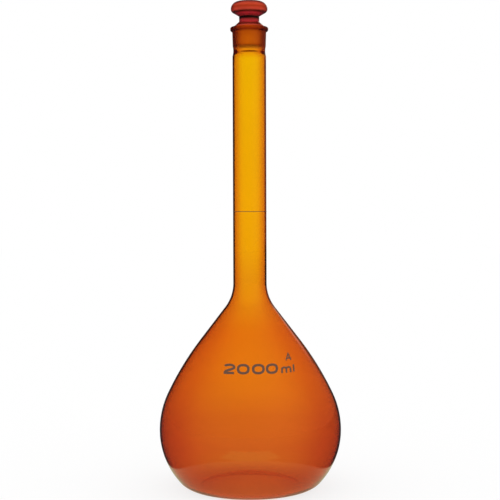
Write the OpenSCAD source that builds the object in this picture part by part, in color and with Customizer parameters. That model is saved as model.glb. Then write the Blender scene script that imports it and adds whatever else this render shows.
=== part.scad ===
// Volumetric flask of 2000 ml in amber glass, with a ground-in stopper.
// The origin is the centre of the standing ring, on the table, and +Z is up.
// Each piece is one revolved section: x is the radius and y the height.

/* [Bulb] */
// Outer diameter at the widest level
body_d = 160.2; // [156:0.2:165]
// Height of the widest level above the table
widest_h = 51; // [50:0.1:52.2]
// Radius of the wall from the widest level down to the heel
side_r = 67.1; // [66:0.1:69]
// Radius of the wall just above the widest level
shoulder_r = 74; // [65:0.5:80]
// Lean of the wall where the shoulder ends, in degrees from upright
shoulder_lean = 25.5; // [20:0.5:30]
// Radius of the flatter wall above the shoulder
upper_r = 269; // [230:1:310]
// Lean of the straight cone under the neck, in degrees from upright
cone_lean = 37.5; // [35:0.5:40]
// Radius of the hollow sweep from the cone into the neck
sweep_r = 35; // [20:0.5:60]
// Thickness of the blown wall of bulb and neck
wall = 1.5; // [1.2:0.1:2.5]

/* [Foot] */
// Outer diameter of the flat standing ring
foot_d = 97.6; // [95:0.2:100]
// Width of the flat standing ring
foot_w = 3; // [1:0.5:6]
// Radius between the standing ring and the punt
foot_fillet_r = 8; // [5:0.5:12]
// Height of the punt under the foot
punt_h = 10; // [6:0.5:16]
// Thickness of the glass in the foot
foot_wall = 1.8; // [1.5:0.1:3]

/* [Neck] */
// Outer diameter of the neck
neck_d = 29.4; // [28.6:0.1:30.6]
// Length of the neck between its two seals
neck_len = 199; // [150:0.5:240]
// Height of the graduation ring above the neck's foot
mark_h = 63; // [20:0.5:120]
// Width of the fired line of the graduation ring
mark_w = 0.5; // [0.3:0.1:1]
// Thickness of the fired enamel
mark_t = 0.1; // [0.05:0.05:0.2]

/* [Ground socket] */
// Diameter of the ground bore at the rim
ground_d = 25; // [23.6:0.1:26]
// Length of the ground bore
ground_len = 21.2; // [18:0.2:26]
// Length over which the ground diameter narrows by one
taper = 10; // [8:1:14]
// Height of the seal from the neck's end to the ground bore
seal_len = 4; // [3:0.5:6]
// Outer diameter of the waist that the seal leaves
waist_d = 28; // [27.6:0.1:28.4]
// Radius of the waist's hollow
waist_r = 16; // [14:1:20]
// Outer diameter of the socket under its rim bead
barrel_d = 29.7; // [29.3:0.1:30.3]
// How much narrower the socket is at its waist end
barrel_draft = 1; // [0.4:0.1:1]
// Outer diameter of the rim bead
bead_d = 33.3; // [32.6:0.1:34.6]
// Height of the rim bead
bead_h = 3.8; // [3.3:0.1:5]
// Radius of the bead's upper edge
bead_top_r = 1.2; // [0.6:0.1:1.3]
// Radius of the bead's lower edge
bead_low_r = 1.8; // [1.2:0.1:1.8]
// Radius of the hollow under the bead
bead_fillet_r = 1.1; // [0.5:0.1:1.8]

/* [Stopper] */
// Gap between the plug and the ground bore, measured on the radius
joint_gap = 0.05; // [0.02:0.01:0.1]
// Height of the plug's upper edge above the rim
plug_stand = 1.4; // [0:0.1:3]
// How far the plug ends above the ground bore's lower end
plug_short = 5; // [0:0.5:8]
// Radius of the plug's lower edge
plug_edge_r = 1.2; // [0.5:0.1:3]
// Diameter of the stem
stem_d = 17.6; // [14:0.1:20]
// Length of the stem between its two flares
stem_len = 4.9; // [3:0.1:10]
// Slope of the flare from the stem down to the plug, in degrees from level
flare_slope = 42; // [30:1:60]
// Radius of the hollow where a flare leaves the stem
stem_fillet_r = 0.8; // [0.4:0.1:1.2]
// Diameter of the knob
knob_d = 32.1; // [30:0.1:38]
// Radius of the knob's upper edge
knob_top_r = 6.5; // [4:0.1:8]
// Radius of the knob's lower edge
knob_under_r = 3.4; // [2:0.1:5]
// Slope of the knob's underside, in degrees from level
under_slope = 30; // [15:1:40]

/* [Hidden] */
$fn = 180;

// Colours of the blown glass, the ground glass, the thick glass and the fired enamel
AMBER = [0.86, 0.45, 0.08];
GROUND_AMBER = [0.70, 0.42, 0.16];
DEEP_AMBER = [0.75, 0.20, 0.14];
ENAMEL = [0.30, 0.18, 0.12];

// Length by which a cutting shape runs past what it cuts
over = 1;
// Depth to which the rounded edge of an outline is drawn, measured inwards
rind = 15;
// Height by which an arc stands proud of its flatter neighbour, so that the two cross
blend = 0.002;
// Distance from an outline at which its straight-sided core ends under an arc
core = 1;

// Unit vector at an angle from level, positive upwards
function dir(a) = [cos(a), sin(a)];

// Angle by which an arc of radius r runs on under its flatter neighbour
function lap(r) = 3 * acos(1 - blend / r);

// Radius of the arc that leaves level ground at a point and runs smoothly into the
// inside of a larger arc with centre c and radius r
function heel_radius(p, c, r) =
    (r * r - (p.x - c.x) * (p.x - c.x) - (c.y - p.y) * (c.y - p.y)) / (2 * (r - (c.y - p.y)));

// Bulb: centres of the arcs, each tangent to the next, from the side up to the neck
foot_r = foot_d / 2;
neck_r = neck_d / 2;
side_c = [body_d / 2 - side_r, widest_h];
shoulder_c = [body_d / 2 - shoulder_r, widest_h];
upper_c = shoulder_c - (upper_r - shoulder_r + blend) * dir(shoulder_lean);
cone_foot = upper_c + (upper_r - blend) * dir(cone_lean);
cone_top_r = neck_r + sweep_r * (1 - cos(cone_lean));
cone_top = [cone_top_r, cone_foot.y + (cone_foot.x - cone_top_r) / tan(cone_lean)];
neck_z = cone_top.y + sweep_r * sin(cone_lean) - 2 * blend;
sweep_c = [neck_r + sweep_r, neck_z];

// Punt: a dome that runs smoothly into the fillet inside the standing ring
ring_in = foot_r - foot_w;
dome_r = (ring_in * ring_in + punt_h * punt_h) / (2 * punt_h) - foot_fillet_r;
dome_c = [0, punt_h - dome_r];
punt_fillet_c = [ring_in, foot_fillet_r];
punt_turn = atan2(punt_fillet_c.y - dome_c.y, punt_fillet_c.x);

// Ground joint: the bore narrows downwards from the rim
seal_z = neck_z + neck_len;
bore_z = seal_z + seal_len;
rim_z = bore_z + ground_len;
ground_lean = atan(1 / (2 * taper));
function ground_r(z) = ground_d / 2 - (rim_z - z) / (2 * taper);

// Socket: the waist passes through the neck's upper end, and the bead ends at the rim
waist_c = [waist_d / 2 + waist_r, seal_z + waist_rise() - 2 * blend];
barrel_r = barrel_d / 2;
bead_top_c = [bead_d / 2 - bead_top_r, rim_z - bead_top_r];
bead_low_c = [bead_d / 2 - bead_low_r, rim_z - bead_h + bead_low_r];
bead_fillet_c = [barrel_r + bead_fillet_r, bead_low_c.y - bead_drop()];
bead_turn = atan2(bead_fillet_c.y - bead_low_c.y, bead_fillet_c.x - bead_low_c.x);
function waist_rise() = sqrt(pow(waist_r, 2) - pow(waist_r + waist_d / 2 - neck_r, 2));
function bead_drop() =
    sqrt(pow(bead_low_r + bead_fillet_r, 2) - pow(barrel_r + bead_fillet_r - bead_low_c.x, 2));

// Stopper: heights from the plug's end up to the knob's flat top
plug_z = bore_z + plug_short;
plug_top_z = rim_z + plug_stand;
plug_top_r = ground_r(plug_top_z) - joint_gap;
plug_edge_c = [
    ground_r(plug_z + plug_edge_r) - joint_gap - plug_edge_r / cos(ground_lean),
    plug_z + plug_edge_r
];
stem_r = stem_d / 2;
stem_z = plug_top_z + (plug_top_r - stem_r) * tan(flare_slope);
under_z = stem_z + stem_len;
under_edge = [knob_d / 2 - knob_under_r, 0] + (knob_under_r - blend) * dir(under_slope - 90);
knob_z = under_z + (under_edge.x - stem_r) * tan(under_slope) - under_edge.y;
knob_top_z = knob_z + knob_top_r;
flare_fillet_c = [stem_r + stem_fillet_r, stem_z + fillet_rise(flare_slope)];
under_fillet_c = [stem_r + stem_fillet_r, under_z - fillet_rise(under_slope)];
function fillet_rise(slope) = stem_fillet_r * (1 - sin(slope)) / cos(slope);

// Edge of a disc between two angles, as deep as the rind, with centre c and radius r
module sector(c, r, from, to) {
    inner = max(r - rind, r / 10);
    outer = 2 * r;
    translate(c)
        intersection() {
            circle(r);
            polygon([
                inner * dir(from),
                outer * dir(from),
                outer * dir((from + to) / 2),
                outer * dir(to),
                inner * dir(to)
            ]);
        }
}

// Hollow under the foot, seen at a depth inside the glass of the foot
module punt(depth) {
    difference() {
        union() {
            polygon([
                [0, depth - over],
                [ring_in, depth - over],
                [ring_in, depth],
                dome_c + (dome_r + depth + blend) * dir(punt_turn),
                [0, punt_h + depth - core]
            ]);
            sector(dome_c, dome_r + depth + blend, punt_turn, 90);
        }
        sector(
            punt_fillet_c,
            foot_fillet_r - depth,
            180 + punt_turn - lap(foot_fillet_r),
            270 + lap(foot_fillet_r)
        );
    }
}

// Outline of the bulb and the foot of the neck, at a depth inside the wall and inside the
// glass of the foot
module bulb_outline(depth, foot_depth, top_z) {
    heel_r = heel_radius([foot_r, foot_depth], side_c, side_r - depth + blend);
    heel_c = [foot_r, foot_depth + heel_r];
    heel_turn = atan2(heel_c.y - side_c.y, heel_c.x - side_c.x);
    difference() {
        union() {
            polygon([
                [0, foot_depth],
                [foot_r, foot_depth],
                heel_c + (heel_r - core) * dir(heel_turn),
                [body_d / 2 - depth - core, widest_h],
                shoulder_c + (shoulder_r - depth - core) * dir(shoulder_lean),
                cone_foot - depth * dir(cone_lean),
                cone_top - depth * dir(cone_lean),
                [neck_r - depth, neck_z],
                [neck_r - depth, top_z],
                [0, top_z]
            ]);
            sector(heel_c, heel_r, -90 - lap(heel_r), heel_turn + lap(heel_r));
            sector(side_c, side_r - depth, heel_turn, 0);
            sector(shoulder_c, shoulder_r - depth, 0, shoulder_lean + lap(shoulder_r));
            sector(upper_c, upper_r - depth, shoulder_lean, cone_lean + lap(upper_r));
        }
        sector(sweep_c, sweep_r + depth, 180, 180 + cone_lean + lap(sweep_r));
        punt(foot_depth);
    }
}

// Blown bulb with its standing ring and punt, open at the foot of the neck
module bulb() {
    color(AMBER)
        rotate_extrude()
            difference() {
                bulb_outline(0, 0, neck_z + over);
                bulb_outline(wall, foot_wall, neck_z + 2 * over);
                translate([0, neck_z])
                    square([neck_d, 3 * over]);
            }
}

// Straight tube between the bulb and the ground socket
module neck() {
    color(AMBER)
        rotate_extrude()
            translate([neck_r - wall, neck_z])
                square([wall, neck_len]);
}

// Ground socket with its waisted seal below and its bead at the rim
module ground_socket() {
    color(GROUND_AMBER)
        rotate_extrude()
            difference() {
                socket_outline();
                polygon([
                    [0, seal_z - over],
                    [neck_r - wall, seal_z - over],
                    [neck_r - wall, seal_z],
                    [ground_r(bore_z), bore_z],
                    [ground_r(rim_z + over), rim_z + over],
                    [0, rim_z + over]
                ]);
            }
}

module socket_outline() {
    difference() {
        union() {
            polygon([
                [0, seal_z],
                [neck_r, seal_z],
                [neck_r, waist_c.y],
                [barrel_r - barrel_draft / 2, waist_c.y],
                [barrel_r, bead_fillet_c.y],
                bead_low_c + bead_low_r * dir(bead_turn),
                [bead_d / 2 - blend, bead_low_c.y],
                [bead_d / 2 - blend, bead_top_c.y],
                [bead_top_c.x, rim_z],
                [0, rim_z]
            ]);
            sector(bead_low_c, bead_low_r, bead_turn, lap(bead_low_r));
            sector(bead_top_c, bead_top_r, -lap(bead_top_r), 90 + lap(bead_top_r));
        }
        translate(waist_c)
            circle(waist_r);
        sector(
            bead_fillet_c,
            bead_fillet_r + blend,
            180 + bead_turn - lap(bead_fillet_r),
            180 + lap(bead_fillet_r)
        );
    }
}

// Fired line round the neck, to which the flask is filled
module graduation_ring() {
    color(ENAMEL)
        rotate_extrude()
            translate([neck_r, neck_z + mark_h - mark_w / 2])
                square([mark_t, mark_w]);
}

// Ground plug of the stopper
module stopper_plug() {
    color(GROUND_AMBER)
        rotate_extrude() {
            polygon([
                [0, plug_z],
                [plug_edge_c.x, plug_z],
                plug_edge_c + (plug_edge_r - blend) * dir(-ground_lean),
                [plug_top_r, plug_top_z],
                [0, plug_top_z]
            ]);
            sector(
                plug_edge_c, plug_edge_r, -90 - lap(plug_edge_r), lap(plug_edge_r) - ground_lean
            );
        }
}

// Flare, stem and mushroom knob of the stopper
module stopper_head() {
    color(DEEP_AMBER)
        rotate_extrude()
            difference() {
                union() {
                    polygon([
                        [0, plug_top_z],
                        [plug_top_r, plug_top_z],
                        flare_fillet_c + stem_fillet_r * dir(270 - flare_slope),
                        [stem_r, flare_fillet_c.y],
                        [stem_r, under_fillet_c.y],
                        under_fillet_c + stem_fillet_r * dir(90 + under_slope),
                        [0, knob_z] + under_edge,
                        [knob_d / 2 - core, knob_z],
                        [knob_d / 2 - knob_top_r, knob_top_z],
                        [0, knob_top_z]
                    ]);
                    sector(
                        [knob_d / 2 - knob_under_r, knob_z],
                        knob_under_r,
                        under_slope - 90 - lap(knob_under_r),
                        0
                    );
                    sector(
                        [knob_d / 2 - knob_top_r, knob_z], knob_top_r, 0, 90 + lap(knob_top_r)
                    );
                }
                sector(
                    flare_fillet_c,
                    stem_fillet_r + blend,
                    180 - lap(stem_fillet_r),
                    270 - flare_slope + lap(stem_fillet_r)
                );
                sector(
                    under_fillet_c,
                    stem_fillet_r + blend,
                    90 + under_slope - lap(stem_fillet_r),
                    180 + lap(stem_fillet_r)
                );
            }
}

bulb();
neck();
ground_socket();
graduation_ring();
stopper_plug();
stopper_head();
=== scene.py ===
import math

import bpy
import numpy as np
from mathutils import Matrix


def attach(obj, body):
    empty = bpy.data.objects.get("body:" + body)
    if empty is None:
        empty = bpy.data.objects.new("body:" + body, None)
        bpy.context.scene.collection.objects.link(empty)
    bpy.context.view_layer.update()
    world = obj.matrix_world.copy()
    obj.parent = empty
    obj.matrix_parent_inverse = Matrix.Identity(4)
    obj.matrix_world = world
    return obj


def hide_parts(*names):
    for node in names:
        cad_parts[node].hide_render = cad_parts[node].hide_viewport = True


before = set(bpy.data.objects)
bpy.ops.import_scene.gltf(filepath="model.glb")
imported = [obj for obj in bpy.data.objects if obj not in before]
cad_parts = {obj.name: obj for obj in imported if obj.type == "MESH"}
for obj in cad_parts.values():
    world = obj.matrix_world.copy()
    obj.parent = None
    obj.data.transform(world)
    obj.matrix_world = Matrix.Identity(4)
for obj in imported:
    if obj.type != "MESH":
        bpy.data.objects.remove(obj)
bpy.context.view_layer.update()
MM = 0.001

# ---------------------------------------------------------------- sizes
# Sizes of the flask and the stopper in millimetres, as in the CAD source
BODY_D, WIDEST_H = 160.2, 51.0
SIDE_R, SHOULDER_R, SHOULDER_LEAN = 67.1, 74.0, 25.5
UPPER_R, CONE_LEAN, SWEEP_R = 269.0, 37.5, 35.0
WALL, FOOT_WALL = 1.5, 1.8
FOOT_D, FOOT_W, FOOT_FILLET_R, PUNT_H = 97.6, 3.0, 8.0, 10.0
NECK_D, NECK_LEN, MARK_H = 29.4, 199.0, 63.0
GROUND_D, GROUND_LEN, TAPER, SEAL_LEN = 25.0, 21.2, 10.0, 4.0
WAIST_D, WAIST_R, BARREL_D, BARREL_DRAFT = 28.0, 16.0, 29.7, 1.0
BEAD_D, BEAD_H, BEAD_TOP_R, BEAD_LOW_R, BEAD_FILLET_R = 33.3, 3.8, 1.2, 1.8, 1.1
JOINT_GAP, PLUG_STAND, PLUG_SHORT, PLUG_EDGE_R = 0.05, 1.4, 5.0, 1.2
STEM_D, STEM_LEN, FLARE_SLOPE, STEM_FILLET_R = 17.6, 4.9, 42.0, 0.8
KNOB_D, KNOB_TOP_R, KNOB_UNDER_R, UNDER_SLOPE = 32.1, 6.5, 3.4, 30.0
# The glass is drawn a hair inside the CAD, whose flat facets cut the circles short
INSIDE_CAD, KNOB_TOP_DROP = 0.9996, 0.015

# The printed capacity: its height on the bulb, how far the enamel stands out and reaches in, the step
# that keeps crossing strokes off one plane, and the pens
PRINT_Z, PRINT_T, PRINT_SUNK, PRINT_STEP = 107.5, 0.04, 0.06, 0.004
PEN, UNIT_PEN, CLASS_PEN, PEN_STEP = 2.2, 1.75, 1.3, 0.6
# Left edge, width and height of each letter with its pen, to the right of the middle and above the base
NUMERAL_H, TWO_X, TWO_W, ZERO_X, ZERO_W = 9.6, -22.8, 10.3, (-11.3, 1.4, 13.2), 10.9
M_X, M_W, M_H, L_X, L_LOW, L_HIGH, UNIT_BASE = 26.9, 10.4, 5.9, 39.9, 0.4, 7.0, 0.2
A_X, A_W, A_H, CLASS_BASE = 32.2, 5.6, 6.2, 11.6

# ---------------------------------------------------------------- colours
# Tint of the flask by height over the rim's height: deeper in the bulb, clearer and yellower in the neck
FLASK_TINT = [
    (0.00, (0.85, 0.60, 0.20)), (0.05, (0.84, 0.50, 0.20)), (0.12, (0.83, 0.47, 0.18)),
    (0.23, (0.98, 0.68, 0.14)), (0.34, (1.00, 0.71, 0.12)), (0.39, (1.00, 0.81, 0.12)),
    (0.45, (0.97, 0.79, 0.10)), (0.52, (1.00, 0.89, 0.075)), (0.80, (1.00, 0.945, 0.06)),
    (0.95, (1.00, 0.985, 0.045)), (0.956, (1.00, 0.98, 0.30)),
]
# Tint of the stopper's head by height above the rim in millimetres, with painted light and shade in its
# bands: flare, painted dark fold, painted glow in the stem, painted dark waist, painted glow under the lip,
# painted dark fold, painted highlight on the lower edge, body, painted highlight on the shoulder, top
HEAD_TINT_AND_PAINTED_LIGHT = [
    (0.9, (0.95, 0.13, 0.08)), (1.9, (0.05, 0.005, 0.003)), (4.4, (0.76, 0.045, 0.065)),
    (6.3, (0.55, 0.04, 0.04)), (7.6, (0.008, 0.003, 0.002)), (8.9, (0.008, 0.003, 0.002)),
    (11.2, (1.00, 0.05, 0.07)), (12.6, (0.11, 0.01, 0.005)), (14.1, (1.00, 0.10, 0.05)),
    (16.6, (0.50, 0.045, 0.010)), (18.6, (0.85, 0.095, 0.042)), (20.6, (0.36, 0.05, 0.04)),
]
HEAD_SPAN = 23.4
PLUG_TINT = (1.00, 0.76, 0.26)
# Volume colour and density, and the share of light that the stopper lets through at head and plug
FLASK_ABSORB, STOPPER_ABSORB = ((0.9875, 0.86, 0.80), 1600.0), ((0.92, 0.55, 0.3), 20.0)
HEAD_CLEAR, PLUG_CLEAR = 0.35, 0.80
GLASS_IOR, FROST_ROUGH, ENAMEL_ROUGH = 1.49, 0.45, 0.5
FROST_RADIUS, FROST_HEIGHT = (0.3, 0.1), (0.9, 1.5)
RING_ENAMEL, PRINT_ENAMEL = (0.16, 0.07, 0.03), (0.19, 0.085, 0.045)


def unit(a):
    a = math.radians(a)
    return np.array([math.cos(a), math.sin(a)])


def angle(v):
    return math.degrees(math.atan2(v[1], v[0]))


def arc(c, r, start, end, step=2.0):
    """Points on an arc about c, from one angle to another, in degrees."""
    n = max(4, int(abs(end - start) / step) + 1)
    return [np.asarray(c) + r * unit(a) for a in np.linspace(start, end, n)]


def line(a, b, n):
    a, b = np.asarray(a, float), np.asarray(b, float)
    return [a + (b - a) * t for t in np.linspace(0, 1, n + 1)[1:-1]]


# ---------------------------------------------------------------- profile of the flask
side_c = np.array([BODY_D / 2 - SIDE_R, WIDEST_H])
shoulder_c = np.array([BODY_D / 2 - SHOULDER_R, WIDEST_H])
upper_c = shoulder_c - (UPPER_R - SHOULDER_R) * unit(SHOULDER_LEAN)
neck_r = NECK_D / 2
cone_foot = upper_c + UPPER_R * unit(CONE_LEAN)
cone_top_r = neck_r + SWEEP_R * (1 - math.cos(math.radians(CONE_LEAN)))
cone_top_z = cone_foot[1] + (cone_foot[0] - cone_top_r) / math.tan(math.radians(CONE_LEAN))
neck_z = cone_top_z + SWEEP_R * math.sin(math.radians(CONE_LEAN))
sweep_c = np.array([neck_r + SWEEP_R, neck_z])
mark_z = neck_z + MARK_H
seal_z = neck_z + NECK_LEN
bore_z = seal_z + SEAL_LEN
rim_z = bore_z + GROUND_LEN
ring_in = FOOT_D / 2 - FOOT_W
dome_r = (ring_in**2 + PUNT_H**2) / (2 * PUNT_H) - FOOT_FILLET_R
dome_c = np.array([0.0, PUNT_H - dome_r])
punt_fillet_c = np.array([ring_in, FOOT_FILLET_R])
punt_turn = angle(punt_fillet_c - dome_c)


def ground_r(z):
    return GROUND_D / 2 - (rim_z - z) / (2 * TAPER)


def heel(depth, foot_depth):
    """Centre and radius of the heel's arc, which is tangent to the foot and the side."""
    p = np.array([FOOT_D / 2, foot_depth])
    r = SIDE_R - depth
    d = p[0] - side_c[0]
    h = side_c[1] - p[1]
    radius = (r * r - d * d - h * h) / (2 * (r - h))
    return np.array([p[0], p[1] + radius]), radius


def wall_profile(depth, foot_depth, dense=1.0):
    """Foot, punt, bulb and neck foot, from the axis outwards and up, at a depth in the glass."""
    heel_c, heel_r = heel(depth, foot_depth)
    turn = angle(heel_c - side_c)
    pts = arc(dome_c, dome_r + foot_depth, 90, punt_turn, dense)
    pts += arc(punt_fillet_c, FOOT_FILLET_R - foot_depth, 180 + punt_turn, 270, 3 * dense)[1:]
    pts += arc(heel_c, heel_r, -90, turn, 2 * dense)
    pts += arc(side_c, SIDE_R - depth, turn, 0, dense)[1:]
    pts += arc(shoulder_c, SHOULDER_R - depth, 0, SHOULDER_LEAN, dense)[1:]
    pts += arc(upper_c, UPPER_R - depth, SHOULDER_LEAN, CONE_LEAN, 0.3 * dense)[1:]
    cone = arc(sweep_c, SWEEP_R + depth, 180 + CONE_LEAN, 180, dense)
    pts += line(pts[-1], cone[0], 16) + cone
    return pts


def socket_profile():
    """Outside of the ground socket, from the seal up and over the rim."""
    wc = np.array([WAIST_D / 2 + WAIST_R, 0.0])
    wc[1] = seal_z + math.sqrt(WAIST_R**2 - (wc[0] - neck_r) ** 2)
    barrel_r = BARREL_D / 2
    low_c = np.array([BEAD_D / 2 - BEAD_LOW_R, rim_z - BEAD_H + BEAD_LOW_R])
    top_c = np.array([BEAD_D / 2 - BEAD_TOP_R, rim_z - BEAD_TOP_R])
    drop = math.sqrt((BEAD_LOW_R + BEAD_FILLET_R) ** 2 - (barrel_r + BEAD_FILLET_R - low_c[0]) ** 2)
    fillet_c = np.array([barrel_r + BEAD_FILLET_R, low_c[1] - drop])
    turn = angle(fillet_c - low_c)
    foot = np.array([barrel_r - BARREL_DRAFT / 2, wc[1]])
    head = np.array([barrel_r, fillet_c[1]])
    # the waist's arc runs up to where it meets the drafted barrel
    a = 180.0
    for _ in range(60):
        p = wc + WAIST_R * unit(a)
        want = foot[0] + (head[0] - foot[0]) * (p[1] - foot[1]) / (head[1] - foot[1])
        if p[0] >= want:
            break
        a -= 0.25
    start = angle(np.array([neck_r, seal_z]) - wc) % 360
    pts = arc(wc, WAIST_R, start, a, 1.5)
    pts += line(pts[-1], head, 10)
    pts += arc(fillet_c, BEAD_FILLET_R, 180, 180 + turn, 8)
    pts += arc(low_c, BEAD_LOW_R, turn, 0, 6)[1:]
    pts += arc(top_c, BEAD_TOP_R, 0, 90, 8)
    return pts


def clean(pts, least=0.01):
    """The points without neighbours that coincide."""
    out = [np.asarray(pts[0], float)]
    for p in pts[1:]:
        if np.hypot(*(p - out[-1])) > least:
            out.append(np.asarray(p, float))
    return out


def lathe(name, pts, segments=256, sharp=38.0):
    """A closed mesh of revolution. pts run from the axis back to the axis, with the solid
    on their left, in millimetres. The ends on the axis become single vertices."""
    pts = np.array(clean(pts))
    n = len(pts)
    th = np.linspace(0, 2 * math.pi, segments, endpoint=False)
    c, s = np.cos(th), np.sin(th)
    inner = pts[1:-1]
    verts = np.empty(((n - 2) * segments + 2, 3))
    for i, (r, z) in enumerate(inner):
        verts[i * segments : (i + 1) * segments] = np.c_[r * c, r * s, np.full(segments, z)]
    first, last = len(verts) - 2, len(verts) - 1
    verts[first] = (0, 0, pts[0][1])
    verts[last] = (0, 0, pts[-1][1])
    faces = []
    for i in range(n - 3):
        a, b = i * segments, (i + 1) * segments
        for j in range(segments):
            k = (j + 1) % segments
            faces.append((a + j, a + k, b + k, b + j))
    end = (n - 3) * segments
    for j in range(segments):
        k = (j + 1) % segments
        faces.append((first, k, j))
        faces.append((last, end + j, end + k))
    me = bpy.data.meshes.new(name)
    me.from_pydata((verts * MM).tolist(), [], faces)
    me.update()
    for p in me.polygons:
        p.use_smooth = True
    me.set_sharp_from_angle(angle=math.radians(sharp))
    ob = bpy.data.objects.new(name, me)
    bpy.context.scene.collection.objects.link(ob)
    return ob


# ---------------------------------------------------------------- node helpers
class Nodes:
    """Short calls for building a node tree."""

    def __init__(self, name, world=None):
        self.owner = world or bpy.data.materials.new(name)
        self.owner.use_nodes = True
        self.tree = self.owner.node_tree
        self.tree.nodes.clear()

    def new(self, kind, **props):
        n = self.tree.nodes.new(kind)
        for k, v in props.items():
            setattr(n, k, v)
        return n

    def wire(self, a, b):
        self.tree.links.new(a, b)

    def math(self, op, a, b=None, clamp=False):
        n = self.new("ShaderNodeMath", operation=op, use_clamp=clamp)
        for i, v in enumerate((a, b)):
            if v is None:
                continue
            if isinstance(v, (int, float)):
                n.inputs[i].default_value = v
            else:
                self.wire(v, n.inputs[i])
        return n.outputs[0]

    def ramp(self, fac, stops):
        n = self.new("ShaderNodeValToRGB")
        e = n.color_ramp.elements
        while len(e) < len(stops):
            e.new(1.0)
        for i, (at, col) in enumerate(stops):
            e[i].position = at
            e[i].color = (*col, 1.0)
        self.wire(fac, n.inputs["Fac"])
        return n.outputs["Color"]

    def smooth(self, v, low, high, a=0.0, b=1.0):
        n = self.new("ShaderNodeMapRange", interpolation_type="SMOOTHSTEP")
        for i, x in enumerate((v, low, high, a, b)):
            if isinstance(x, (int, float)):
                n.inputs[i].default_value = x
            else:
                self.wire(x, n.inputs[i])
        return n.outputs[0]

    def mix(self, fac, a, b, mode="MIX"):
        n = self.new("ShaderNodeMix", data_type="RGBA", blend_type=mode)
        for sock, v in ((n.inputs[0], fac), (n.inputs[6], a), (n.inputs[7], b)):
            if isinstance(v, (int, float)):
                sock.default_value = v
            elif isinstance(v, tuple):
                sock.default_value = (*v, 1.0)
            else:
                self.wire(v, sock)
        return n.outputs[2]


def place(n):
    """Height and distance from the axis of the shaded point, in metres, and the point."""
    tc = n.new("ShaderNodeTexCoord")
    xyz = n.new("ShaderNodeSeparateXYZ")
    n.wire(tc.outputs["Object"], xyz.inputs[0])
    rr = n.math("ADD", n.math("MULTIPLY", xyz.outputs[0], xyz.outputs[0]),
                n.math("MULTIPLY", xyz.outputs[1], xyz.outputs[1]))
    return xyz.outputs[2], n.math("SQRT", rr), tc.outputs["Object"]


def grazing(n, red, green, blue=0.0, low=0.03, high=0.45):
    """Tint for glass seen at a slant, where more of it lies in the way."""
    lw = n.new("ShaderNodeLayerWeight")
    lw.inputs["Blend"].default_value = 0.5
    slant = n.smooth(lw.outputs["Facing"], low, high)
    return n.mix(slant, (1.0, 1.0, 1.0), (1 - red, 1 - green, 1 - blue))


def glass(n, colour, rough):
    """A glass shader and its output, tinted and frosted by the sockets given."""
    p = n.new("ShaderNodeBsdfPrincipled")
    p.inputs["Transmission Weight"].default_value = 1.0
    p.inputs["IOR"].default_value = GLASS_IOR
    n.wire(colour, p.inputs["Base Color"])
    n.wire(rough, p.inputs["Roughness"])
    out = n.new("ShaderNodeOutputMaterial")
    n.wire(p.outputs[0], out.inputs["Surface"])
    return p, out


def absorb(n, out, colour, density):
    """Colour that deepens with the thickness of glass in the way."""
    v = n.new("ShaderNodeVolumeAbsorption")
    v.inputs["Color"].default_value = (*colour, 1.0)
    v.inputs["Density"].default_value = density
    n.wire(v.outputs[0], out.inputs["Volume"])


# ---------------------------------------------------------------- materials
def flask_material():
    n = Nodes("amber_glass")
    z, r, point = place(n)
    tint = n.ramp(n.math("DIVIDE", z, rim_z * MM, clamp=True), FLASK_TINT)
    tint = n.mix(1.0, tint, grazing(n, 0.13, 0.33), "MULTIPLY")
    noise = n.new("ShaderNodeTexNoise")
    noise.inputs["Scale"].default_value = 14.0
    noise.inputs["Detail"].default_value = 2.0
    n.wire(point, noise.inputs["Vector"])
    cloud = n.smooth(noise.outputs[0], 0.3, 0.7, 0.97, 1.0)
    tint = n.mix(1.0, tint, cloud, "MULTIPLY")
    # frosted where the bore is ground
    inside = n.smooth(r, *((GROUND_D / 2 + d) * MM for d in FROST_RADIUS))
    above = n.smooth(z, *((bore_z + d) * MM for d in FROST_HEIGHT))
    rough = n.math("MULTIPLY", n.math("MULTIPLY", inside, above), FROST_ROUGH)
    _, out = glass(n, tint, rough)
    absorb(n, out, *FLASK_ABSORB)
    return n.owner


def stopper_material():
    n = Nodes("stopper_glass")
    z, _, point = place(n)
    plug = n.smooth(z, (rim_z + 0.5) * MM, (rim_z - 0.1) * MM)
    up = n.math("DIVIDE", n.math("SUBTRACT", z, rim_z * MM), HEAD_SPAN * MM, clamp=True)
    # the ramp gives the head its deep red, with painted highlights and painted shade in bands by height
    head = n.ramp(up, [(h / HEAD_SPAN, c) for h, c in HEAD_TINT_AND_PAINTED_LIGHT])
    noise = n.new("ShaderNodeTexNoise")
    noise.inputs["Scale"].default_value = 60.0
    n.wire(point, noise.inputs["Vector"])
    head = n.mix(1.0, head, n.smooth(noise.outputs[0], 0.3, 0.7, 0.85, 1.0), "MULTIPLY")
    tint = n.mix(plug, head, PLUG_TINT)
    tint = n.mix(1.0, tint, grazing(n, 0.55, 0.65, 0.5, 0.25, 0.75), "MULTIPLY")
    p, out = glass(n, tint, n.math("MULTIPLY", plug, FROST_ROUGH))
    n.wire(n.mix(plug, (HEAD_CLEAR,) * 3, (PLUG_CLEAR,) * 3), p.inputs["Transmission Weight"])
    absorb(n, out, *STOPPER_ABSORB)
    return n.owner


def enamel_material(name, colour):
    n = Nodes(name)
    _, _, point = place(n)
    noise = n.new("ShaderNodeTexNoise")
    noise.inputs["Scale"].default_value = 900.0
    noise.inputs["Detail"].default_value = 3.0
    n.wire(point, noise.inputs["Vector"])
    dark = tuple(0.8 * c for c in colour)
    p = n.new("ShaderNodeBsdfPrincipled")
    n.wire(n.mix(noise.outputs[0], dark, colour), p.inputs["Base Color"])
    p.inputs["Roughness"].default_value = ENAMEL_ROUGH
    out = n.new("ShaderNodeOutputMaterial")
    n.wire(p.outputs[0], out.inputs["Surface"])
    return n.owner


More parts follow.
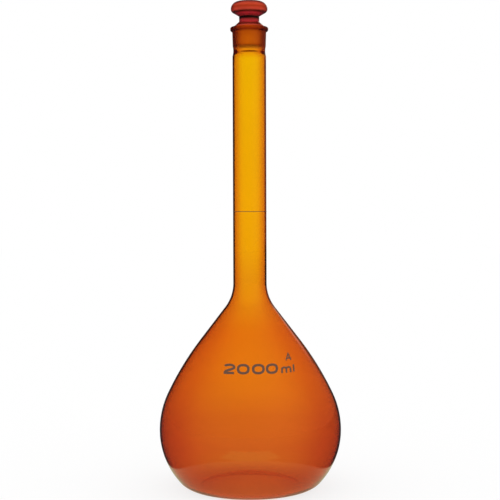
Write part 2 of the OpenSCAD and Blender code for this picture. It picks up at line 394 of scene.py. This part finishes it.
# ---------------------------------------------------------------- glass of the flask
outer = wall_profile(0, 0)
inner = wall_profile(WALL, FOOT_WALL)
tube_out = line(outer[-1], (neck_r, seal_z), 40)
tube_in = line((neck_r - WALL, seal_z), inner[-1], 40)
sock = socket_profile()
bore = [(GROUND_D / 2, rim_z)] + line((GROUND_D / 2, rim_z), (ground_r(bore_z), bore_z), 16)
bore += [(ground_r(bore_z), bore_z)]
bore += line(bore[-1], (neck_r - WALL, seal_z), 4) + [(neck_r - WALL, seal_z)]
profile = outer + tube_out + sock + bore + tube_in + inner[::-1]
flask = lathe("flask_glass", [(INSIDE_CAD * r, z) for r, z in profile])
flask.data.materials.append(flask_material())
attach(flask, "flask")
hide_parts("bulb", "neck", "ground_socket")

# ---------------------------------------------------------------- stopper
plug_z = bore_z + PLUG_SHORT
plug_top_z = rim_z + PLUG_STAND
plug_top_r = ground_r(plug_top_z) - JOINT_GAP
lean = math.degrees(math.atan(1 / (2 * TAPER)))
edge_c = np.array([
    ground_r(plug_z + PLUG_EDGE_R) - JOINT_GAP - PLUG_EDGE_R / math.cos(math.radians(lean)),
    plug_z + PLUG_EDGE_R,
])
stem_r = STEM_D / 2
stem_z = plug_top_z + (plug_top_r - stem_r) * math.tan(math.radians(FLARE_SLOPE))
under_z = stem_z + STEM_LEN
under_edge = np.array([KNOB_D / 2 - KNOB_UNDER_R, 0]) + KNOB_UNDER_R * unit(UNDER_SLOPE - 90)
knob_z = under_z + (under_edge[0] - stem_r) * math.tan(math.radians(UNDER_SLOPE)) - under_edge[1]
knob_top_z = knob_z + KNOB_TOP_R


def fillet_rise(slope):
    """Height of a stem fillet's centre beyond the corner that it rounds."""
    a = math.radians(slope)
    return STEM_FILLET_R * (1 - math.sin(a)) / math.cos(a)


flare_c = np.array([stem_r + STEM_FILLET_R, stem_z + fillet_rise(FLARE_SLOPE)])
under_c = np.array([stem_r + STEM_FILLET_R, under_z - fillet_rise(UNDER_SLOPE)])
pts = [np.array([0, plug_z])] + line((0, plug_z), (edge_c[0], plug_z), 6)
pts += arc(edge_c, PLUG_EDGE_R, -90, -lean, 8)
pts += line(pts[-1], (plug_top_r, plug_top_z), 16) + [np.array([plug_top_r, plug_top_z])]
flare = arc(flare_c, STEM_FILLET_R, 270 - FLARE_SLOPE, 180, 8)
pts += line(pts[-1], flare[0], 5) + flare
under = arc(under_c, STEM_FILLET_R, 180, 90 + UNDER_SLOPE, 8)
pts += line(pts[-1], under[0], 4) + under
low = arc((KNOB_D / 2 - KNOB_UNDER_R, knob_z), KNOB_UNDER_R, UNDER_SLOPE - 90, 0, 4)
pts += line(pts[-1], low[0], 5) + low
pts += arc((KNOB_D / 2 - KNOB_TOP_R, knob_z), KNOB_TOP_R, 0, 90, 3)[1:]
pts += line(pts[-1], (0, knob_top_z), 8) + [np.array([0, knob_top_z])]
pts = [(r, z - KNOB_TOP_DROP * max(0.0, z - knob_z) / KNOB_TOP_R) for r, z in pts]
stopper = lathe("stopper_glass", pts, 192)
stopper.data.materials.append(stopper_material())
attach(stopper, "stopper")
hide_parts("stopper_plug", "stopper_head")

# ---------------------------------------------------------------- ring mark
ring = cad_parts["graduation_ring"]
ring.data.materials.clear()
ring.data.materials.append(enamel_material("fired_enamel", RING_ENAMEL))

# ---------------------------------------------------------------- printed capacity
# The outline of the bulb as distance along it, radius and height, for laying print on it
print_path = np.array(wall_profile(0, 0, 0.5)[-260:])
print_run = np.r_[0, np.cumsum(np.hypot(*np.diff(print_path, axis=0).T))]
print_run -= np.interp(PRINT_Z, print_path[:, 1], print_run)


def on_bulb(u, v, lift):
    """A point u to the right along its circle and v up the wall, lift above the glass, in mm."""
    r = np.interp(v, print_run, print_path[:, 0])
    z = np.interp(v, print_run, print_path[:, 1])
    dr = np.interp(v + 0.5, print_run, print_path[:, 0]) - np.interp(v - 0.5, print_run, print_path[:, 0])
    dz = np.interp(v + 0.5, print_run, print_path[:, 1]) - np.interp(v - 0.5, print_run, print_path[:, 1])
    a = u / r
    r, z = r + lift * dz, z - lift * dr
    return r * math.sin(a), -r * math.cos(a), z


def stroke(path, width, closed=False):
    """Left and right edge of a pen stroke with mitred corners, resampled at about every PEN_STEP."""
    path = [np.asarray(p, float) for p in path]
    if closed:
        path.append(path[0])
    pts = [path[0]]
    for a, b in zip(path[:-1], path[1:]):
        n = max(1, int(np.hypot(*(b - a)) / PEN_STEP))
        pts += [a + (b - a) * k / n for k in range(1, n + 1)]
    if closed:
        pts.pop()
    pts = np.array(pts)
    if closed:
        before, after = pts - np.roll(pts, 1, 0), np.roll(pts, -1, 0) - pts
    else:
        d = np.diff(pts, axis=0)
        before, after = np.vstack([d[:1], d]), np.vstack([d, d[-1:]])
    before /= np.hypot(*before.T)[:, None]
    after /= np.hypot(*after.T)[:, None]
    nb, na = np.c_[-before[:, 1], before[:, 0]], np.c_[-after[:, 1], after[:, 0]]
    m = nb + na
    m /= np.maximum((m * nb).sum(1), 0.4)[:, None]
    return pts + m * width / 2, pts - m * width / 2


def bow(cx, cy, a, b, start, end, power=2.0, n=28):
    """Points on a squarish ellipse, from one angle to another."""
    out = []
    for t in np.radians(np.linspace(start, end, n)):
        c, s = math.cos(t), math.sin(t)
        out.append((cx + a * math.copysign(abs(c) ** (2 / power), c),
                    cy + b * math.copysign(abs(s) ** (2 / power), s)))
    return out


def zero(x, w, h):
    return [(bow(x + w / 2, h / 2, w / 2, h / 2, 0, 360, 2.4, 41)[:-1], True)]


def two(x, w, h):
    top = bow(x + w / 2, 0.72 * h, w / 2, 0.28 * h, 165, -25, 2.3, 16)
    tail = [(x + 0.62 * w, 0.43 * h), (x + 0.30 * w, 0.32 * h), (x + 0.08 * w, 0.19 * h), (x, 0.08 * h)]
    return [(top + tail + [(x, 0), (x + w, 0)], False)]


def letter_m(x, w, h):
    arch = h * 0.45
    legs = [([(x, 0), (x, h)], False)]
    for k in (0, 1):
        x0 = x + k * w / 2
        legs.append((bow(x0 + w / 4, h - arch, w / 4, arch, 150, 0, 2.4, 12) + [(x0 + w / 2, 0)], False))
    return legs


def letter_a(x, w, h):
    legs = ([(x, 0), (x + w / 2, h), (x + w, 0)], False)
    bar = ([(x + 0.2 * w, 0.3 * h), (x + 0.8 * w, 0.3 * h)], False)
    return [legs, bar]


def add_print(name, glyphs, width, base):
    """Enamel strokes in one mesh, each closed in itself, laid on the bulb base above the print's foot."""
    verts, faces = [], []
    for level, (path, closed) in enumerate(glyphs):
        left, right = stroke(path, width, closed)
        n, o = len(left), len(verts)
        top = PRINT_T + PRINT_STEP * (level % 3)
        for l, r in zip(left, right):
            for q, lift in ((l, top), (r, top), (r, -PRINT_SUNK), (l, -PRINT_SUNK)):
                verts.append(on_bulb(q[0], q[1] + base, lift))
        for i in range(n if closed else n - 1):
            j = (i + 1) % n
            for k in range(4):
                m = (k + 1) % 4
                faces.append((o + 4 * i + k, o + 4 * i + m, o + 4 * j + m, o + 4 * j + k))
        if not closed:
            faces.append((o + 3, o + 2, o + 1, o))
            e = o + 4 * (n - 1)
            faces.append((e, e + 1, e + 2, e + 3))
    me = bpy.data.meshes.new(name)
    me.from_pydata((np.array(verts) * MM).tolist(), [], faces)
    me.update()
    ob = bpy.data.objects.new(name, me)
    bpy.context.scene.collection.objects.link(ob)
    me.materials.append(print_glass)
    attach(ob, "flask")
    return ob


print_glass = enamel_material("print_enamel", PRINT_ENAMEL)
numerals = two(TWO_X + PEN / 2, TWO_W - PEN, NUMERAL_H - PEN)
for zero_x in ZERO_X:
    numerals += zero(zero_x + PEN / 2, ZERO_W - PEN, NUMERAL_H - PEN)
add_print("print_numerals", numerals, PEN, PEN / 2)
unit_marks = letter_m(M_X + UNIT_PEN / 2, M_W - UNIT_PEN, M_H - UNIT_PEN / 2)
unit_marks += [([(L_X, L_LOW), (L_X, L_HIGH)], False)]
add_print("print_unit", unit_marks, UNIT_PEN, UNIT_BASE)
add_print("print_class", letter_a(A_X, A_W, A_H), CLASS_PEN, CLASS_BASE)

# ---------------------------------------------------------------- floor, world, camera
# What the glass mirrors, in metres, painted on the floor for mirrored rays only: a painted pool of light
# under the flask, brighter at its back, a painted strip of light before it, and painted dark floor and a
# dark studio round both
POOL_R, POOL_ROUND, POOL_BACK, POOL_FADE = 0.092, -0.048, 0.150, (-0.065, 0.025)
POOL_NEAR, POOL_FAR = (0.30, 0.35, 0.26), (0.64, 0.76, 0.52)
STRIP_SIDE, STRIP_FROM, STRIP_TO, STRIP_LIGHT = 0.075, -0.215, -0.136, (0.15, 0.50, 0.16)
DARK_FLOOR = (0.060, 0.048, 0.050)
DARK_AROUND = [
    (0.00, (0.050, 0.028, 0.045)), (0.35, (0.050, 0.022, 0.012)), (0.55, (0.12, 0.055, 0.020)),
    (0.80, (0.21, 0.090, 0.060)), (1.00, (0.21, 0.090, 0.070)),
]
# The backdrop's pale edge, far off on the right, and where it starts and is full along x, y and z
BACKDROP_EDGE, BACKDROP_REACH = (1.00, 0.80, 0.68), ((0.05, 0.20), (0.76, 0.90), (0.15, 0.28))
# A painted pool of warm light on the floor round the foot, in place of the light that amber glass throws
# there
FOOT_GLOW_R, FOOT_GLOW = 0.063, (0.90, 0.55, 0.35)
POOL_SOFT, STRIP_SOFT, FOOT_SOFT = 0.003, 0.006, 0.003
# The floor's own glow for the rays that see it, and its plain pale paper for those that light the object
FLOOR_GLOW, FLOOR_PAPER = 0.8, 0.8
FLOOR_HALF, FLOOR_DROP = 6.0, 0.0002
# A ray that has crossed this many glass surfaces or more looks through the flask, also where it is mirrored
THROUGH_DEPTH = 3.5


def floor_box(n, x, y, side, near, far, soft):
    """1 inside a box on the floor, 0 outside it."""
    out = n.math("MAXIMUM", n.math("SUBTRACT", n.math("ABSOLUTE", x), side),
                 n.math("MAXIMUM", n.math("SUBTRACT", near, y), n.math("SUBTRACT", y, far)))
    return n.smooth(out, soft, -soft)


def floor_light_pool(n, x, y, soft):
    """1 on the painted pool of light, which has a round front end, 0 off it."""
    before = n.math("MINIMUM", n.math("SUBTRACT", y, POOL_ROUND), 0.0)
    reach = n.math("SQRT", n.math("ADD", n.math("MULTIPLY", x, x), n.math("MULTIPLY", before, before)))
    out = n.math("MAXIMUM", n.math("SUBTRACT", reach, POOL_R), n.math("SUBTRACT", y, POOL_BACK))
    return n.smooth(out, soft, -soft)


def seen_light(n, lp, mirrored_light):
    """White for rays that come straight or through the glass, mirrored_light for mirrored ones."""
    mirrored = n.math("MINIMUM", lp.outputs["Glossy Depth"], 1.0)
    shallow = n.math("LESS_THAN", lp.outputs["Transmission Depth"], THROUGH_DEPTH)
    return n.mix(n.math("MULTIPLY", mirrored, shallow), (1.0, 1.0, 1.0), mirrored_light)


def floor_object():
    me = bpy.data.meshes.new("floor")
    s = FLOOR_HALF
    me.from_pydata([(-s, -s, 0), (s, -s, 0), (s, s, 0), (-s, s, 0)], [], [(0, 1, 2, 3)])
    ob = bpy.data.objects.new("floor", me)
    ob.location.z = -FLOOR_DROP
    bpy.context.scene.collection.objects.link(ob)
    n = Nodes("floor_paper")
    d = n.new("ShaderNodeBsdfDiffuse")
    e = n.new("ShaderNodeEmission")
    lp = n.new("ShaderNodeLightPath")
    tc = n.new("ShaderNodeTexCoord")
    xyz = n.new("ShaderNodeSeparateXYZ")
    n.wire(tc.outputs["Object"], xyz.inputs[0])
    x, y = xyz.outputs[0], xyz.outputs[1]
    # painted light on the floor that only mirrored rays see: a pool of light under the flask, brighter at
    # its back, and a strip of light before it, on painted dark floor
    pool = n.mix(n.smooth(y, *POOL_FADE), POOL_NEAR, POOL_FAR)
    foot = n.math("SQRT", n.math("ADD", n.math("MULTIPLY", x, x), n.math("MULTIPLY", y, y)))
    # a painted pool of warm light round the foot, seen only by mirrored rays
    pool = n.mix(n.smooth(foot, FOOT_GLOW_R + FOOT_SOFT, FOOT_GLOW_R - FOOT_SOFT), pool, FOOT_GLOW)
    strip = floor_box(n, x, y, STRIP_SIDE, STRIP_FROM, STRIP_TO, STRIP_SOFT)
    mirrored = n.mix(strip, DARK_FLOOR, STRIP_LIGHT)
    mirrored = n.mix(floor_light_pool(n, x, y, POOL_SOFT), mirrored, pool)
    light = seen_light(n, lp, mirrored)
    n.wire(light, e.inputs["Color"])
    # the glow is for seen rays only; what lights the object is a plain pale floor, and it keeps the shadow
    seen = n.math("MAXIMUM", lp.outputs["Is Camera Ray"],
                  n.math("MAXIMUM", lp.outputs["Is Glossy Ray"], lp.outputs["Is Transmission Ray"]))
    n.wire(n.math("MULTIPLY", seen, FLOOR_GLOW), e.inputs["Strength"])
    paper = n.mix(seen, (FLOOR_PAPER,) * 3, (1.0 - FLOOR_GLOW,) * 3)
    n.wire(n.mix(1.0, light, paper, "MULTIPLY"), d.inputs["Color"])
    add = n.new("ShaderNodeAddShader")
    n.wire(d.outputs[0], add.inputs[0])
    n.wire(e.outputs[0], add.inputs[1])
    out = n.new("ShaderNodeOutputMaterial")
    n.wire(add.outputs[0], out.inputs["Surface"])
    me.materials.append(n.owner)


floor_object()

world = bpy.data.worlds.new("studio")
bpy.context.scene.world = world
n = Nodes("studio", world)
lp = n.new("ShaderNodeLightPath")
bg = n.new("ShaderNodeBackground")
tc = n.new("ShaderNodeTexCoord")
way = n.new("ShaderNodeSeparateXYZ")
n.wire(tc.outputs["Generated"], way.inputs[0])
side = n.math("MULTIPLY", n.math("ADD", way.outputs[0], 1.0), 0.5)
reach = [n.smooth(way.outputs[i], *BACKDROP_REACH[i]) for i in range(3)]
glow = n.math("MULTIPLY", n.math("MULTIPLY", reach[0], reach[1]), reach[2])
around = n.mix(glow, n.ramp(side, DARK_AROUND), BACKDROP_EDGE)
n.wire(seen_light(n, lp, around), bg.inputs["Color"])
bg.inputs["Strength"].default_value = 1.0
out = n.new("ShaderNodeOutputWorld")
n.wire(bg.outputs[0], out.inputs["Surface"])

# The camera in pixels of a 500 wide picture: it stands at the height of the ring mark, a focal length
# away from the axis, and looks down so far that the mark lies AIM_DROP above the middle
PX, FOCAL, PICTURE, SENSOR = 0.882 * MM, 1150.0, 500.0, 36.0
AIM_DROP, AXIS_OFF, ROLL = 38.5, 0.15, -0.17
pitch = math.atan(AIM_DROP / FOCAL)
cam_data = bpy.data.cameras.new("camera")
cam_data.sensor_width = SENSOR
cam_data.lens = SENSOR * FOCAL / PICTURE
cam_data.clip_start = 0.01
cam = bpy.data.objects.new("camera", cam_data)
bpy.context.scene.collection.objects.link(cam)
cam.location = (AXIS_OFF * PX, -FOCAL * PX * math.cos(pitch), mark_z * MM)
turned = Matrix.Rotation(math.pi / 2 - pitch, 3, "X") @ Matrix.Rotation(math.radians(ROLL), 3, "Z")
cam.rotation_euler = turned.to_euler()
bpy.context.scene.camera = cam

sc = bpy.context.scene
sc.view_settings.view_transform = "Standard"
sc.cycles.max_bounces = 24
sc.cycles.transmission_bounces = 24
sc.cycles.glossy_bounces = 12

bpy.context.view_layer.update()
